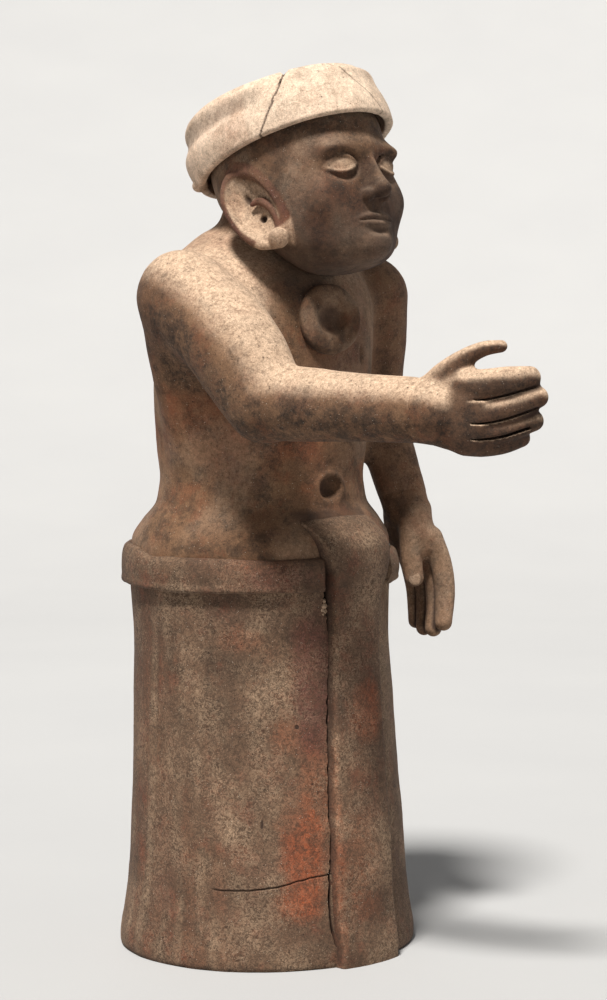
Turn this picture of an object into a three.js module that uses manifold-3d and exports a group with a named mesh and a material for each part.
// A hollow terracotta figure: a standing figure in a long skirt with a belt and a front panel, a band cap,
// large ears and a chest disc, the right arm held out and the left arm hanging. It is built as a potter
// builds it, from slabs, coils and pellets of clay, each a piece of its own, luted to its neighbours at thin
// seams.
// Millimetres, +Z up. The figure faces -Y and its right hand is on the -X side. The pieces are laid out
// round the skirt's axis, and at the end the whole is moved so that the origin lies on the front of the foot
// ring.
import * as THREE from 'three';
import { mergeVertices } from 'three/addons/utils/BufferGeometryUtils.js';
import Module from 'manifold-3d';

const wasm = await Module();
wasm.setup();

// Clay
const wall = 11;
const seam = 0.3;
const overrun = 6;

// Skirt
const skirtHeight = 356;
const hemHalfWidth = 139;
const hemHalfDepth = 132;
const hipHalfWidth = 120;
const hipHalfDepth = 114;
const hipBack = 9;
const skirtShares = [
  [0, 1, 0], [0.035, 1, 0], [0.09, 0.82, 0], [0.18, 0.6, 0], [0.32, 0.44, 0.05], [0.48, 0.23, 0.3],
  [0.64, 0.12, 0.6], [0.79, 0, 0.85], [0.92, 0.1, 1], [1, 0.1, 1],
];

// Hip yoke, the slope from the belt up to the waist
const yokeHeight = 46;
const waistHalfWidth = 104;
const waistHalfDepth = 91;
const yokeShares = [[0, 0], [0.34, 0.03], [0.55, 0.24], [0.78, 0.6], [1, 1]];

// Belt, a flat coil laid round the top of the skirt
const beltHeight = 30;
const beltThickness = 8;
const beltDrop = 25;
const beltShares = [[0, 0.25], [0.1, 0.85], [0.3, 1], [0.7, 1], [0.9, 0.72], [1, 0.15]];

// Front panel, a flap of slab that folds over the waist and hangs to the hem
const panelOver = 40;
const panelHalfWidth = 36;
const panelThickness = 10;
const panelWidthShares = [
  [0, 1.06], [0.3, 1], [0.8, 0.98], [0.87, 1], [0.92, 1.06], [0.965, 1.2], [0.99, 1.24], [1, 1.14],
];
const panelReachShares = [
  [0, 0.85], [0.3, 0.9], [0.8, 0.9], [0.86, 1.25], [0.92, 1.3], [0.965, 1.1], [0.99, 1], [1, 0.5],
];
const panelRoundShares = [[-1, 0.45], [-0.9, 0.94], [-0.5, 1], [0, 1.02], [0.5, 1], [0.9, 0.94], [1, 0.45]];

// Torso
const torsoHeight = 254;
const torsoHalfWidth = 115;
const torsoHalfDepth = 90;
const torsoBack = 7;
const torsoShares = [
  [0, 0.9, 1, 1], [0.05, 0.875, 0.985, 1], [0.105, 0.86, 0.965, 1], [0.2, 0.88, 0.985, 1],
  [0.34, 0.915, 1, 0.9], [0.5, 0.935, 1, 0.7], [0.64, 0.965, 0.98, 0.6], [0.75, 0.97, 0.92, 0.7],
  [0.85, 0.86, 0.77, 1.1], [0.92, 0.64, 0.6, 1.6], [0.97, 0.46, 0.48, 1.5], [1, 0.28, 0.34, 1.2],
];
const navelWidth = 30;
const navelHeight = 22;
const navelDepth = 10;
const navelRise = 18;

// Chest disc, a flat pellet with a thumbed hollow
const discRadius = 32;
const discThickness = 8;
const discSink = 14;
const discTurn = 12;
const discAside = 8;
const discCupRadius = 15;
const discCupDepth = 6;
const chinGap = 1.1;
const discLean = 8;

// Neck
const neckHeight = 34;
const neckRadius = 42;
const neckFlare = 8;
const neckForward = -2;
const neckLean = 14;
const neckSink = 30;

// Head
const headBehind = 58;
const brimRise = 58;
const headTilt = 15.4;
const faceHeight = 115;
const headHalfWidth = 72;
const headHalfDepth = 91;
const headForward = headHalfDepth - headBehind;
const headShares = [
  [-1, 0.26, 0.66, -0.24], [-0.97, 0.5, 0.79, -0.1], [-0.87, 0.71, 0.88, 0.06], [-0.7, 0.85, 0.92, 0.28],
  [-0.5, 0.94, 0.94, 0.58], [-0.3, 1, 0.96, 0.8], [-0.1, 1, 0.98, 0.88], [0.12, 0.97, 0.96, 0.88],
  [0.28, 0.84, 0.84, 0.78], [0.38, 0.6, 0.62, 0.56], [0.43, 0.25, 0.27, 0.24],
];

// Face
const eyeSpacing = 58;
const eyeWidth = 31;
const eyeHeight = 15;
const eyeDepth = 9;
const eyeDrop = 31;
const lidRadius = 2.6;
const noseLength = 44;
const noseWidth = 28;
const noseReach = 19;
const noseTop = 20;
const nostrilRadius = 3;
const mouthWidth = 42;
const mouthDrop = 82;
const lipHalfHeight = 4.2;
const lipReach = 5.5;

// Ears
const earLength = 84;
const earWidth = 42;
const earThickness = 22;
const earHollow = 9;
const earOut = 66;
const earForward = 6;
const earDrop = 54;
const earTilt = 30;
const earFlare = 28;
const earRimRadius = 5;
const earFoldRadius = 3.6;
const earPelletRadius = 9;
const earHoleRadius = 2.6;

// Cap
const capSideGap = 6;
const capEndGap = 3;
const capTilt = 6.5;
const capTaper = 17;
const capHeight = 54;
const capBackHeight = 58;
const capThickness = 9;
const capHalfWidth = headHalfWidth + capSideGap + capThickness;
const capHalfDepth = headHalfDepth + capEndGap + capThickness;
const capShares = [
  [0, 0, 0.45], [0.25, 0.06, 0.1], [0.5, 0.24, 0], [0.75, 0.55, 0.2], [0.9, 0.8, 0.5], [1, 1, 0.8],
];
const furrowDepth = 5;
const furrowShares = [[0, 0], [0.5, 0.1], [0.75, 1], [0.9, 0.1], [1, -0.5]];
const furrowMiddleAngle = -105;
const furrowHalfAngle = 60;
const crackWidth = 0.5;
const nearCrackAngles = [-64, -37];
const farCrackAngles = [12, -12];
const crownSink = 4;
const crownThickness = 12;
const crownRise = 6;
const knobRadius = 6;
const knobOutShare = 0.598;
const knobBackShare = 0.69;

// Arms
const shoulderSpan = 116;
const shoulderForward = 14;
const shoulderDrop = 66;
const shoulderRadius = 40;
const armBow = 9;
const rightUpperLength = 138;
const rightForeLength = 161;
const rightForeRadius = 31;
const leftUpperLength = 100;
const leftForeLength = 107;
const leftForeRadius = 24;
const rightUpperShares = [[0, 1], [0.35, 1.03], [0.7, 1], [1, 0.87]];
const rightForeShares = [[0, 1.02], [0.2, 1], [0.6, 0.9], [1, 0.84]];
const leftUpperShares = [[0, 1], [0.35, 0.86], [0.7, 0.7], [1, 0.62]];
const leftForeShares = [[0, 1.03], [0.3, 1], [0.7, 0.94], [1, 0.88]];

// Hands
const leftHandTurn = 16;
const palmLength = 37;
const palmHalfWidth = 35;
const palmShares = [[0, 0.74], [0.35, 0.86], [0.75, 1], [1, 0.94]];
const palmFlatShares = [[0, 0.8], [0.35, 0.55], [0.75, 0.42], [1, 0.38]];
const fingerRadius = 10;
const thumbRadius = 10;
const fingerNames = ['index', 'middle', 'ring', 'little'];

// Each finger's stops as shares: its reach by the palm's length, its place across the palm and its depth to
// the palm's inner side by the palm's half width, and its thickness by the finger's radius
const rightFingerShares = [
  [[0.75, 0.62, 0, 1.33], [1.2, 0.66, 0.02, 1.32], [1.65, 0.76, 0.1, 1.24], [2.11, 0.88, 0.29, 0.94]],
  [[0.75, -0.04, 0.04, 1.22], [1.25, 0.02, 0.06, 1.16], [1.75, 0.18, 0.16, 1.04], [2.28, 0.44, 0.4, 0.86]],
  [[0.75, -0.46, 0.1, 1.1], [1.2, -0.44, 0.14, 1.06], [1.7, -0.32, 0.26, 0.98], [2.17, -0.12, 0.52, 0.84]],
  [[0.75, -0.74, 0.18, 0.96], [1.1, -0.74, 0.24, 0.94], [1.5, -0.68, 0.38, 0.88], [1.87, -0.54, 0.64, 0.76]],
];
const leftFingerShares = [
  [[0.75, 0.68, -0.15, 1.05], [1.4, 0.69, -0.27, 1.02], [2.1, 0.69, -0.24, 0.98], [2.92, 0.68, 0, 0.86]],
  [[0.75, 0.23, -0.15, 1], [1.4, 0.23, -0.27, 1], [2.15, 0.23, -0.22, 0.96], [3.02, 0.22, 0.06, 0.86]],
  [[0.75, -0.24, -0.12, 0.98], [1.4, -0.23, -0.25, 0.98], [2.1, -0.22, -0.2, 0.94], [2.95, -0.2, 0.08, 0.84]],
  [[0.75, -0.66, -0.05, 0.92], [1.35, -0.64, -0.14, 0.92], [2, -0.61, -0.12, 0.88], [2.75, -0.58, 0.06, 0.78]],
];
const rightThumbShares = [
  [-0.2, 0.28, 0, 1.4], [0.22, 0.88, 0.03, 1.12], [0.65, 1.26, 0.08, 0.86], [1.08, 1.5, 0.14, 0.7],
  [1.45, 1.57, 0.2, 0.58],
];
const leftThumbShares = [
  [0.1, 0.3, 0.1, 1.2], [0.55, 0.5, 0.35, 1.08], [1.1, 0.54, 0.5, 1.03], [1.68, 0.52, 0.52, 0.95],
];
const nailRadius = 6;
const nailThickness = 1.8;

// Facets
const roundSides = 32;
const boreSides = 18;
const headSides = 26;
const limbSides = 14;
const fingerSides = 8;
const pebbleSides = 14;
const pebbleRows = 8;
const dentSides = 12;
const dentRows = 6;
const discSides = 24;
const noseSides = 16;

const degree = Math.PI / 180;
const X = new THREE.Vector3(1, 0, 0);
const Y = new THREE.Vector3(0, 1, 0);
const Z = new THREE.Vector3(0, 0, 1);
const waistHeight = skirtHeight + yokeHeight;
const neckBase = waistHeight + torsoHeight;
const panelHeight = skirtHeight + panelOver;
const beltBottom = skirtHeight - beltDrop;
const chinHeight = neckBase + brimRise - faceHeight * Math.cos(headTilt * degree);
const discHeight = chinHeight - chinGap - discRadius - waistHeight;

function clay(color, roughness) {
  return new THREE.MeshStandardMaterial({ color, roughness, metalness: 0 });
}

const brown = clay(0x7d6250, 0.9);
const buff = clay(0x9a7a62, 0.9);
const rust = clay(0x8a5a44, 0.9);
const pale = clay(0xb9a189, 0.92);
const plum = clay(0x7a5350, 0.92);

// The value of one column of a table at t, on a smooth curve through the table's rows.
function along(table, t, column = 1) {
  let row = 0;
  while (row < table.length - 2 && t > table[row + 1][0]) row += 1;
  const slope = (a, b) => (table[b][column] - table[a][column]) / (table[b][0] - table[a][0]);
  const [start, end] = [table[row], table[row + 1]];
  const span = end[0] - start[0];
  const leave = slope(Math.max(row - 1, 0), row + 1) * span;
  const arrive = slope(row, Math.min(row + 2, table.length - 1)) * span;
  const s = THREE.MathUtils.clamp((t - start[0]) / span, 0, 1);
  const [s2, s3] = [s * s, s * s * s];
  return (2 * s3 - 3 * s2 + 1) * start[column] + (s3 - 2 * s2 + s) * leave
    + (3 * s2 - 2 * s3) * end[column] + (s3 - s2) * arrive;
}

function shares(count) {
  return Array.from({ length: count + 1 }, (_, i) => i / count);
}

const stops = (table) => table.map((row) => row[0]);

// An ellipse of points round a centre.
function ellipse(centre, side, front, halfWidth, halfDepth, count) {
  return shares(count).slice(0, count).map((s) => centre.clone()
    .addScaledVector(side, halfWidth * Math.cos(2 * Math.PI * s))
    .addScaledVector(front, halfDepth * Math.sin(2 * Math.PI * s)));
}

// A geometry as a solid that can be cut and joined, turned the right way out.
function solidOf(geometry) {
  const bare = geometry.clone();
  bare.deleteAttribute('normal');
  bare.deleteAttribute('uv');
  const merged = mergeVertices(bare);
  const vertProperties = Float32Array.from(merged.attributes.position.array);
  const triVerts = Uint32Array.from(merged.index.array);
  const solid = new wasm.Manifold(new wasm.Mesh({ numProp: 3, vertProperties, triVerts }));
  if (solid.volume() > 0) return solid;
  return new wasm.Manifold(new wasm.Mesh({ numProp: 3, vertProperties, triVerts: triVerts.reverse() }));
}

// One closed body through a row of rings, with a point closing each end.
function loft(rings) {
  const count = rings[0].length;
  const middle = (ring) => ring.reduce((sum, p) => sum.add(p), new THREE.Vector3()).divideScalar(count);
  const points = [...rings.flat(), middle(rings[0]), middle(rings.at(-1))];
  const [first, last] = [points.length - 2, points.length - 1];
  const top = (rings.length - 1) * count;
  const index = [];
  for (let i = 0; i < count; i += 1) {
    const j = (i + 1) % count;
    index.push(first, j, i, last, top + i, top + j);
    for (let a = 0; a < top; a += count) {
      const b = a + count;
      index.push(a + i, a + j, b + i, b + i, a + j, b + j);
    }
  }
  const geometry = new THREE.BufferGeometry().setFromPoints(points);
  geometry.setIndex(index);
  return solidOf(geometry);
}

// A body of level rings. section(t) gives its height, halfWidth, halfDepth and back, the shift along Y.
// grow makes it larger all round, and reach moves its two ends outward.
function upright(section, at, grow = 0, reach = grow, count = roundSides) {
  return loft(at.map((t, i) => {
    const s = section(t);
    const end = (i === at.length - 1) - (i === 0);
    const centre = new THREE.Vector3(0, s.back, s.height + end * reach);
    return ellipse(centre, X, Y, s.halfWidth + grow, s.halfDepth + grow, count);
  }));
}

// A round-ended limb on a smooth curve, its radius taken from a table of shares. side is the direction
// that its width lies along, and flat is how thick it is as a share of its width.
function limb(points, radius, radiusShares, options) {
  const { side = X, flat = [[0, 1], [1, 1]], steps = 5, count = limbSides, grow = 0 } = options;
  const curve = new THREE.CatmullRomCurve3(points, false, 'centripetal');
  const ringAt = (t, shift, scale) => {
    const tangent = curve.getTangentAt(t);
    const front = new THREE.Vector3().crossVectors(tangent, side).normalize();
    const across = new THREE.Vector3().crossVectors(front, tangent).normalize();
    const half = radius * along(radiusShares, t);
    const thick = half * along(flat, t);
    const centre = curve.getPointAt(t).addScaledVector(tangent, shift * (thick + grow));
    return ellipse(centre, across, front, scale * (half + grow), scale * (thick + grow), count);
  };
  const dome = [[0.94, 0.34], [0.64, 0.77]];
  return loft([
    ...dome.map(([shift, scale]) => ringAt(0, -shift, scale)),
    ...shares(steps).map((t) => ringAt(t, 0, 1)),
    ...dome.reverse().map(([shift, scale]) => ringAt(1, shift, scale)),
  ]);
}

// An ellipsoid with its half sizes along three given directions.
function pebble(centre, axes, halves, across = pebbleSides, high = pebbleRows) {
  const geometry = new THREE.SphereGeometry(halves[0], across, high);
  const [a, b, c] = axes.map((axis, i) => axis.clone().multiplyScalar(halves[i] / halves[0]));
  geometry.applyMatrix4(new THREE.Matrix4().makeBasis(a, b, c).setPosition(centre));
  return solidOf(geometry);
}

function rod(from, to, radius, count = fingerSides) {
  const direction = to.clone().sub(from);
  const geometry = new THREE.CylinderGeometry(radius, radius, direction.length(), count);
  geometry.applyQuaternion(new THREE.Quaternion().setFromUnitVectors(Y, direction.normalize()));
  const centre = from.clone().add(to).multiplyScalar(1 / 2);
  return solidOf(geometry.translate(centre.x, centre.y, centre.z));
}

function cut(solid, ...tools) {
  return tools.reduce((left, tool) => left.subtract(tool), solid);
}

const figure = new THREE.Group();

// Adds a named mesh: the largest body of a solid, without the chips that a cut may leave.
function piece(name, solid, material) {
  const body = solid.decompose().reduce((best, part) => (part.volume() > best.volume() ? part : best));
  const { vertProperties, triVerts } = body.getMesh();
  const geometry = new THREE.BufferGeometry();
  geometry.setAttribute('position', new THREE.BufferAttribute(vertProperties, 3));
  geometry.setIndex(new THREE.BufferAttribute(triVerts, 1));
  const mesh = new THREE.Mesh(geometry, material);
  mesh.name = name;
  figure.add(mesh);
}

const mix = (from, to, share) => from + (to - from) * share;

// Skirt: an open tube of slab that flares to the hem.
function skirtSection(t) {
  const flare = along(skirtShares, t, 1);
  return {
    height: t * skirtHeight,
    halfWidth: mix(hipHalfWidth, hemHalfWidth, flare),
    halfDepth: mix(hipHalfDepth, hemHalfDepth, flare),
    back: hipBack * along(skirtShares, t, 2),
  };
}

// Hip yoke: from the skirt's own top size in to the waist.
function yokeSection(t) {
  const slope = along(yokeShares, t);
  const foot = skirtSection(1);
  return {
    height: mix(skirtHeight, waistHeight, t),
    halfWidth: mix(foot.halfWidth, waistHalfWidth, slope),
    halfDepth: mix(foot.halfDepth, waistHalfDepth, slope),
    back: mix(hipBack, torsoBack, slope),
  };
}

function torsoSection(t) {
  return {
    height: mix(waistHeight, neckBase, t),
    halfWidth: torsoHalfWidth * along(torsoShares, t, 1),
    halfDepth: torsoHalfDepth * along(torsoShares, t, 2),
    back: torsoBack * along(torsoShares, t, 3),
  };
}

// The torso's hollow keeps the wall's thickness under the shoulders too.
function torsoHollow(t) {
  const s = torsoSection(t);
  return { ...s, height: mix(waistHeight, neckBase - wall, t) };
}

const neckCurve = [
  new THREE.Vector3(0, -neckForward, neckBase - neckSink),
  new THREE.Vector3(0, -neckForward, neckBase - neckSink / 3),
  new THREE.Vector3(0, -neckForward - neckLean / 3, neckBase + neckHeight / 3),
  new THREE.Vector3(0, -neckForward - neckLean, neckBase + neckHeight),
];

function neckForm(grow, reach) {
  const flares = [neckFlare, neckFlare / 3, 0, 0];
  return loft(neckCurve.map((point, i) => {
    const end = (i === neckCurve.length - 1) - (i === 0);
    const radius = neckRadius + flares[i] + grow;
    return ellipse(point.clone().addScaledVector(Z, end * reach), X, Y, radius, radius, boreSides);
  }));
}

// Head frame: up and forward lean back together, and the brim's centre is the origin.
const up = new THREE.Vector3(0, Math.sin(headTilt * degree), Math.cos(headTilt * degree));
const forward = new THREE.Vector3(0, -Math.cos(headTilt * degree), Math.sin(headTilt * degree));
const brimCentre = new THREE.Vector3(0, -headForward, neckBase + brimRise);

function onHead(side, rise, reach) {
  return brimCentre.clone()
    .addScaledVector(X, side).addScaledVector(up, rise).addScaledVector(forward, reach);
}

// The cap leans back further than the head, round the same origin.
function onCap(side, rise, reach) {
  const [c, s] = [Math.cos(capTilt * degree), Math.sin(capTilt * degree)];
  return onHead(side, rise * c + reach * s, reach * c - rise * s);
}

function headForm(grow, count = headSides) {
  return loft(headShares.map(([rise, width, front, back], i) => {
    const end = (i === headShares.length - 1) - (i === 0);
    const [reach, tail] = [front * headHalfDepth, back * headHalfDepth];
    const centre = onHead(0, rise * faceHeight + end * grow, (reach - tail) / 2);
    return ellipse(centre, X, forward, width * headHalfWidth + grow, (reach + tail) / 2 + grow, count);
  }));
}

// How far forward the face lies at a place on the head.
function faceAt(side, drop) {
  const rise = -drop / faceHeight;
  const [reach, tail] = [2, 3].map((column) => along(headShares, rise, column) * headHalfDepth);
  const width = along(headShares, rise, 1) * headHalfWidth;
  return (reach - tail) / 2 + ((reach + tail) / 2) * Math.sqrt(1 - (side / width) ** 2);
}

// Skirt, yoke and torso, open to one another inside
const skirtStops = stops(skirtShares);
const yokeStops = stops(yokeShares);
const torsoStops = stops(torsoShares);
const skirtSolid = (grow) => upright(skirtSection, skirtStops, grow);
const yokeSolid = (grow) => upright(yokeSection, yokeStops, grow);
const torsoSolid = (grow) => upright(torsoSection, torsoStops, grow);
const skirtBore = upright(skirtSection, [0, 0.12, 0.32, 0.64, 1], -wall, overrun, boreSides);
const yokeBore = upright(yokeSection, [0, 0.4, 0.7, 1], -wall, overrun, boreSides);
const hollowStops = [0, 0.105, 0.34, 0.64, 0.75, 0.85, 0.92, 0.97];
const torsoBore = upright(torsoHollow, hollowStops, -wall, overrun, boreSides);
const neckBore = neckForm(-wall, overrun);

const torsoOuter = torsoSolid(0);
const yokeOuter = cut(yokeSolid(0), torsoSolid(seam));
const skirtOuter = cut(skirtSolid(0), yokeSolid(seam));
const belly = torsoSection(navelRise / torsoHeight);
const navel = pebble(
  new THREE.Vector3(0, belly.back - belly.halfDepth, waistHeight + navelRise),
  [X, Z, Y], [navelWidth / 2, navelHeight / 2, navelDepth * 0.8],
);

piece('skirt_tube', cut(skirtOuter, skirtBore), brown);
piece('hip_yoke', cut(yokeOuter, yokeBore), brown);
piece('torso_shell', cut(torsoOuter, torsoBore, neckBore, navel), buff);

// Front panel: its rings follow the skirt and yoke, and stand out further where it crosses the belt.
function panelForm(grow) {
  return loft(stops(panelWidthShares).map((t, i, all) => {
    const height = t * panelHeight;
    const base = height < skirtHeight
      ? skirtSection(height / skirtHeight)
      : yokeSection((height - skirtHeight) / yokeHeight);
    const reach = panelThickness * along(panelReachShares, t);
    const halfWidth = panelHalfWidth * along(panelWidthShares, t) + grow;
    const end = (i === all.length - 1) - (i === 0);
    const place = (s, out) => {
      const [a, b] = [base.halfWidth + out, base.halfDepth + out];
      const x = s * halfWidth;
      return new THREE.Vector3(x, base.back - b * Math.sqrt(1 - (x / a) ** 2), height + end * grow);
    };
    const outer = panelRoundShares.map(([s, share]) => place(s, reach * share + grow));
    const inner = panelRoundShares.map(([s]) => place(s, -wall)).reverse();
    return [...outer, ...inner];
  }));
}

piece('front_panel', cut(panelForm(0), skirtSolid(seam), yokeSolid(seam), torsoSolid(seam)), brown);

// Belt: it passes round from one side of the panel to the other.
function beltSection(t) {
  const s = skirtSection(1);
  const out = beltThickness * along(beltShares, t);
  const height = beltBottom + t * beltHeight;
  return { ...s, height, halfWidth: s.halfWidth + out, halfDepth: s.halfDepth + out };
}

const beltSolid = (grow) => upright(beltSection, stops(beltShares), grow);
const beltSeat = (t) => ({ ...skirtSection(1), height: beltBottom + t * beltHeight });
piece('belt_coil', cut(beltSolid(0), upright(beltSeat, [0, 1], seam, overrun), panelForm(seam)), brown);

// Chest disc: it lies on the chest and leans back with it.
function chestDisc() {
  const profile = [
    [0, -discSink], [discRadius, -discSink], [discRadius, discThickness / 2],
    [discRadius * 0.88, discThickness],
    [discCupRadius, discThickness], [discCupRadius * 0.6, discThickness - discCupDepth * 0.8],
    [0, discThickness - discCupDepth],
  ];
  const geometry = new THREE.LatheGeometry(profile.map(([r, y]) => new THREE.Vector2(r, y)), discSides);
  const chest = torsoSection(discHeight / torsoHeight);
  geometry.rotateX((180 - discLean) * degree).rotateZ(-discTurn * degree);
  return solidOf(geometry.translate(-discAside, chest.back - chest.halfDepth, waistHeight + discHeight));
}

piece('chest_disc', cut(chestDisc(), torsoSolid(seam), headForm(seam)), buff);

// Head and neck
const headOuter = headForm(0);
const headBore = headForm(-wall, boreSides);
piece('head_shell', cut(headOuter, headBore, neckBore, torsoSolid(seam)), buff);
piece('neck_tube', cut(neckForm(0, 0), neckBore, torsoSolid(seam), headForm(seam)), buff);

// Face: eyes between lids, a wedge nose with nostrils, and closed lips
const faceGap = headForm(seam);

for (const [name, sign] of [['right', -1], ['left', 1]]) {
  const side = sign * (eyeSpacing / 2);
  const onFace = (x, drop, lift = 0) => onHead(x, -drop, faceAt(x, drop) + lift);
  const outward = onFace(side, eyeDrop, eyeDepth).sub(onHead(0, -eyeDrop, 0)).normalize();
  const eyeSide = new THREE.Vector3().crossVectors(outward, up).normalize();
  const eyeAxes = [eyeSide, up, outward];
  const eye = pebble(onFace(side, eyeDrop), eyeAxes, [eyeWidth / 2, eyeHeight / 2, eyeDepth / 2]);
  const lidPath = (arch) => [-1, -0.5, 0, 0.5, 1].map((s) => {
    const x = side + (s * eyeWidth) / 2;
    return onFace(x, eyeDrop - arch * eyeHeight * (1 - s * s) / 2);
  });
  const lidShares = [[0, 0.6], [0.3, 1], [0.7, 1], [1, 0.6]];
  const lidFacets = { side: up, steps: 5, count: 5 };
  const lid = (arch, grow) => limb(lidPath(arch), lidRadius, lidShares, { ...lidFacets, grow });
  piece(`${name}_eye`, cut(eye, faceGap), pale);
  const eyeGap = pebble(
    onFace(side, eyeDrop), eyeAxes,
    [eyeWidth / 2 + seam, eyeHeight / 2 + seam, eyeDepth / 2 + seam],
  );
  piece(`${name}_upper_lid`, cut(lid(1.25, 0), faceGap, eyeGap), buff);
  piece(`${name}_lower_lid`, cut(lid(-1.15, 0), faceGap, eyeGap, lid(1.25, seam)), buff);
}

function noseForm(grow) {
  const noseShares = [[0, 0.3, 0.12], [0.25, 0.42, 0.35], [0.55, 0.6, 0.7], [0.82, 0.96, 1], [1, 0.8, 0.8]];
  const rings = noseShares.map(([t, width, reach], i, all) => {
    const drop = noseTop + t * noseLength;
    const end = (i === all.length - 1) - (i === 0);
    const centre = onHead(0, -drop - end * grow, faceAt(0, drop) - overrun);
    const [across, deep] = [(noseWidth * width) / 2, noseReach * reach + overrun];
    return ellipse(centre, X, forward, across + grow, deep + grow, noseSides);
  });
  return loft(rings);
}

function nostril(sign) {
  const base = noseTop + noseLength;
  const reach = faceAt(0, base) + noseReach / 2.4;
  const x = sign * (noseWidth / 4.6);
  return rod(onHead(x, -base - overrun, reach), onHead(x, -base + overrun, reach), nostrilRadius, 6);
}

piece('nose', cut(noseForm(0), faceGap, nostril(-1), nostril(1)), buff);

function lip(arch, sag, grow = 0) {
  const path = [-1, -0.5, 0, 0.5, 1].map((s) => {
    const x = (s * mouthWidth) / 2;
    const drop = mouthDrop + arch * lipHalfHeight * (1 - sag * s * s);
    return onHead(x, -drop, faceAt(x, drop));
  });
  const lipShares = [[0, 0.35], [0.25, 0.85], [0.5, 1], [0.75, 0.85], [1, 0.35]];
  const flat = [[0, lipReach / lipHalfHeight], [1, lipReach / lipHalfHeight]];
  return limb(path, lipHalfHeight, lipShares, { side: up, flat, steps: 8, count: 8, grow });
}

piece('upper_lip', cut(lip(-0.9, 0.9), faceGap, noseForm(seam)), buff);
piece('lower_lip', cut(lip(0.9, 0.9), faceGap, lip(-0.9, 0.9, seam)), buff);

// Ears: a hollowed shell, a rim coil, an inner fold, and a pellet on the lobe
const headAngle = (side, reach) => Math.atan2(side, reach) / degree;

function capForm(grow, reach) {
  return loft(capShares.map(([t, frontTaper, backTaper], i, all) => {
    const end = (i === all.length - 1) - (i === 0);
    return shares(roundSides).slice(0, roundSides).map((s) => {
      const [c, n] = [Math.cos(2 * Math.PI * s), Math.sin(2 * Math.PI * s)];
      const turn = headAngle(c * capHalfWidth, n * capHalfDepth) - furrowMiddleAngle;
      const near = Math.abs(((turn + 540) % 360) - 180) / furrowHalfAngle;
      const furrow = near < 1 ? furrowDepth * along(furrowShares, t) * (1 - near ** 2) ** 2 : 0;
      const size = grow - furrow - capTaper * mix(backTaper, frontTaper, (1 + n) / 2);
      const rise = t * mix(capBackHeight, capHeight, (1 + n) / 2) + end * reach;
      return onCap(c * (capHalfWidth + size), rise, n * (capHalfDepth + size));
    });
  }));
}

const capGap = capForm(seam, seam);

for (const [name, sign] of [['right', -1], ['left', 1]]) {
  const long = up.clone().multiplyScalar(Math.cos(earTilt * degree))
    .addScaledVector(forward, -Math.sin(earTilt * degree));
  const out = X.clone().multiplyScalar(sign * Math.cos(earFlare * degree))
    .addScaledVector(new THREE.Vector3().crossVectors(X, long), Math.sin(earFlare * degree));
  const wide = new THREE.Vector3().crossVectors(out, long);
  const centre = onHead(sign * earOut, -earDrop, earForward);
  const onEar = (w, l, o) => centre.clone()
    .addScaledVector(wide, w).addScaledVector(long, l).addScaledVector(out, o);
  const front = wide.dot(forward) > 0 ? 1 : -1;
  const [halfW, halfL, halfT] = [earWidth / 2, earLength / 2, earThickness / 2];
  const shellSolid = (grow) => pebble(
    centre, [wide, long, out], [halfW + grow, halfL + grow, halfT + grow],
  );
  const hollow = (grow) => pebble(
    onEar(0, 0, halfT + earHollow / 3), [wide, long, out],
    [halfW * 0.8 + grow, halfL * 0.8 + grow, earHollow + grow], dentSides, dentRows,
  );
  const holePlace = -earLength / 9;
  const hole = rod(onEar(0, holePlace, -halfT - overrun), onEar(0, holePlace, halfT), earHoleRadius);
  const rimPath = [0.5, 0.2, 0, -0.25, -0.5, -0.75, -0.95].map((s) => {
    const angle = (s + 0.5) * Math.PI;
    return onEar(-front * halfW * Math.cos(angle) * 1, halfL * Math.sin(angle), halfT / 2);
  });
  const coilShares = [[0, 0.6], [0.15, 0.95], [0.5, 1], [0.9, 0.95], [1, 0.7]];
  const rim = (grow) => limb(rimPath, earRimRadius, coilShares, { side: out, steps: 8, count: 6, grow });
  const foldPath = [[0.55, 0.5], [0.2, 0.62], [-0.1, 0.3], [0.1, -0.15], [0.45, -0.45]]
    .map(([w, l]) => onEar(front * w * halfW * 0.7, l * halfL, halfT / 2));
  const fold = limb(foldPath, earFoldRadius, coilShares, { side: out, steps: 6, count: 6 });
  const pellet = (grow) => pebble(
    onEar(front * halfW * 0.3, -halfL, halfT / 2), [wide, long, out],
    [earPelletRadius + grow, earPelletRadius + grow, earPelletRadius + grow], dentSides,
  );
  const shell = cut(shellSolid(0), hollow(0), hole, faceGap, capGap);
  piece(`${name}_ear_pellet`, cut(pellet(0), faceGap), pale);
  piece(`${name}_ear_shell`, cut(shell, pellet(seam)), buff);
  piece(`${name}_ear_rim`, cut(rim(0), shellSolid(seam), pellet(seam), faceGap, capGap), plum);
  piece(`${name}_ear_fold`, cut(fold, shellSolid(seam).subtract(hollow(-seam)), faceGap, rim(seam)), plum);
}

// Cap: a wide band round the head, broken into two sherds by two cracks, and a crown closing its top
function capWedge(spare) {
  const far = capHalfDepth + capHalfWidth;
  return loft([-overrun, capBackHeight + overrun].map((rise, end) => {
    const [from, to] = [nearCrackAngles[end], farCrackAngles[end]];
    const angles = [from - spare, (from + to) / 2, to + spare];
    const rim = angles.map((a) => onCap(far * Math.sin(a * degree), rise, far * Math.cos(a * degree)));
    return [onCap(0, rise, 0), ...rim];
  }));
}

const crackAngle = crackWidth / capHalfWidth / degree;
const capBand = cut(capForm(0, 0), capForm(-capThickness, overrun));
piece('cap_front_sherd', capBand.intersect(capWedge(0)), pale);
piece('cap_band', cut(capBand, capWedge(crackAngle)), pale);

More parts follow.
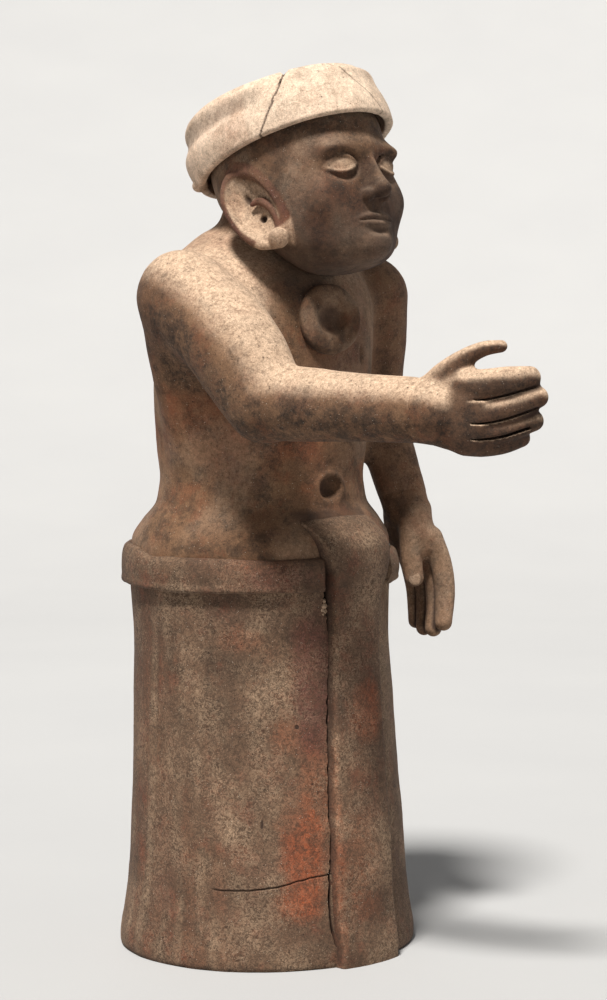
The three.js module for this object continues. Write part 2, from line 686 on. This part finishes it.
function crownForm() {
  const rows = [[-crownSink - crownThickness, 1], [-crownSink, 1], [crownRise * 0.5, 0.7], [crownRise, 0.3]];
  return loft(rows.map(([lift, share]) => shares(roundSides).slice(0, roundSides).map((s) => {
    const [c, n] = [Math.cos(2 * Math.PI * s), Math.sin(2 * Math.PI * s)];
    const top = mix(capBackHeight, capHeight, (1 + share * n) / 2);
    const [halfWidth, halfDepth] = [capHalfWidth - capThickness, capHalfDepth - capThickness];
    return onCap(c * share * halfWidth, top + lift, n * share * halfDepth);
  })));
}

const bandGap = cut(capForm(seam, seam), capForm(-capThickness - seam, overrun));
piece('cap_crown', cut(crownForm(), bandGap, headForm(seam)), pale);
const knobHalves = [knobRadius, knobRadius, knobRadius];
const knobPlace = onCap(-capHalfWidth * knobOutShare, knobRadius / 2, -capHalfDepth * knobBackShare);
const knob = pebble(knobPlace, [X, forward, up], knobHalves, dentSides, dentRows);
piece('cap_knob', cut(knob, bandGap, headForm(seam)), pale);

// Arms and hands. A heading points forward, turned inward toward the other hand and raised by some degrees.
function heading(sign, inward, rise) {
  const [a, b] = [inward * degree, rise * degree];
  return new THREE.Vector3(-sign * Math.sin(a) * Math.cos(b), -Math.cos(a) * Math.cos(b), Math.sin(b));
}

function arm(name, sign, pose) {
  const shoulder = new THREE.Vector3(sign * shoulderSpan, -shoulderForward, neckBase - shoulderDrop);
  const elbow = shoulder.clone().addScaledVector(heading(sign, ...pose.upper), pose.upperLength);
  const wrist = elbow.clone().addScaledVector(heading(sign, ...pose.fore), pose.foreLength);
  const middle = shoulder.clone().lerp(elbow, 1 / 2).addScaledVector(pose.bow, armBow);
  const bowed = [shoulder, middle, elbow];
  const upper = (grow) => limb(bowed, shoulderRadius, pose.upperShares, { steps: 4, grow });
  const bodyGap = [torsoSolid(seam), yokeSolid(seam), beltSolid(seam)];
  const fore = (grow) => limb([elbow, wrist], pose.foreRadius, pose.foreShares, { steps: 3, grow });
  piece(`${name}_upper_arm`, cut(upper(0), ...bodyGap), buff);
  piece(`${name}_forearm`, cut(fore(0), upper(seam), ...bodyGap), buff);

  const reach = heading(sign, ...pose.hand);
  const inner = new THREE.Vector3().crossVectors(reach, pose.thumbSide).normalize().multiplyScalar(sign);
  const thumbWay = new THREE.Vector3().crossVectors(inner, reach).multiplyScalar(sign);
  const onHand = (along1, across, out) => wrist.clone()
    .addScaledVector(reach, along1).addScaledVector(thumbWay, across).addScaledVector(inner, out);
  const palm = (grow) => limb(
    [onHand(0, 0, 0), onHand(palmLength, 0, 0)], palmHalfWidth, palmShares,
    { side: thumbWay, flat: palmFlatShares, steps: 4, grow },
  );
  piece(`${name}_palm`, cut(palm(0), fore(seam), ...bodyGap), buff);

  // A finger or thumb through its stops, evenly spaced along it, so that a stop's number gives its share.
  const digit = (stops, radius, side, grow) => limb(
    stops.map(([a, b, c]) => onHand(a * palmLength, b * palmHalfWidth, c * palmHalfWidth)),
    radius, stops.map((stop, i) => [i / (stops.length - 1), stop[3]]),
    { side, steps: 5, count: fingerSides, grow },
  );
  const taken = [palm(seam), fore(seam), ...bodyGap];
  pose.fingers.forEach((stops, i) => {
    piece(`${name}_${fingerNames[i]}_finger`, cut(digit(stops, fingerRadius, thumbWay, 0), ...taken), buff);
    taken.push(digit(stops, fingerRadius, thumbWay, seam));
  });

  const thumb = (grow) => digit(pose.thumb, thumbRadius, inner, grow);
  piece(`${name}_thumb`, cut(thumb(0), ...taken), buff);
  if (!pose.nailFacing) return;
  const [before, tip] = pose.thumb.slice(-2)
    .map(([a, b, c]) => onHand(a * palmLength, b * palmHalfWidth, c * palmHalfWidth));
  const nailLong = tip.clone().sub(before).normalize();
  const nailFacing = pose.nailFacing.clone()
    .addScaledVector(nailLong, -pose.nailFacing.dot(nailLong)).normalize();
  const nailWide = new THREE.Vector3().crossVectors(nailLong, nailFacing);
  const nail = pebble(
    tip.clone().addScaledVector(nailFacing, thumbRadius * 0.78), [nailWide, nailLong, nailFacing],
    [nailRadius, nailRadius * 1.1, nailThickness], dentSides, dentRows,
  );
  piece(`${name}_thumb_nail`, cut(nail, thumb(seam)), pale);
}

arm('right', -1, {
  upper: [-3, -40.6],
  bow: new THREE.Vector3(0, -0.57, 0.82),
  fore: [12.8, -1.6],
  hand: [22, -2],
  upperLength: rightUpperLength,
  foreLength: rightForeLength,
  foreRadius: rightForeRadius,
  upperShares: rightUpperShares,
  foreShares: rightForeShares,
  thumbSide: Z,
  fingers: rightFingerShares,
  thumb: rightThumbShares,
});
arm('left', 1, {
  upper: [-58, -84.6],
  bow: new THREE.Vector3(0.3, 0, 0),
  fore: [-19, -71],
  hand: [-12, -77],
  upperLength: leftUpperLength,
  foreLength: leftForeLength,
  foreRadius: leftForeRadius,
  upperShares: leftUpperShares,
  foreShares: leftForeShares,
  thumbSide: new THREE.Vector3(-Math.sin(leftHandTurn * degree), -Math.cos(leftHandTurn * degree), 0),
  fingers: leftFingerShares,
  thumb: leftThumbShares,
  nailFacing: new THREE.Vector3(-1, -1, 0),
});

// The origin: on the floor, in the middle of the foot ring's front
figure.position.y = hemHalfDepth - wall / 2;

export default figure;
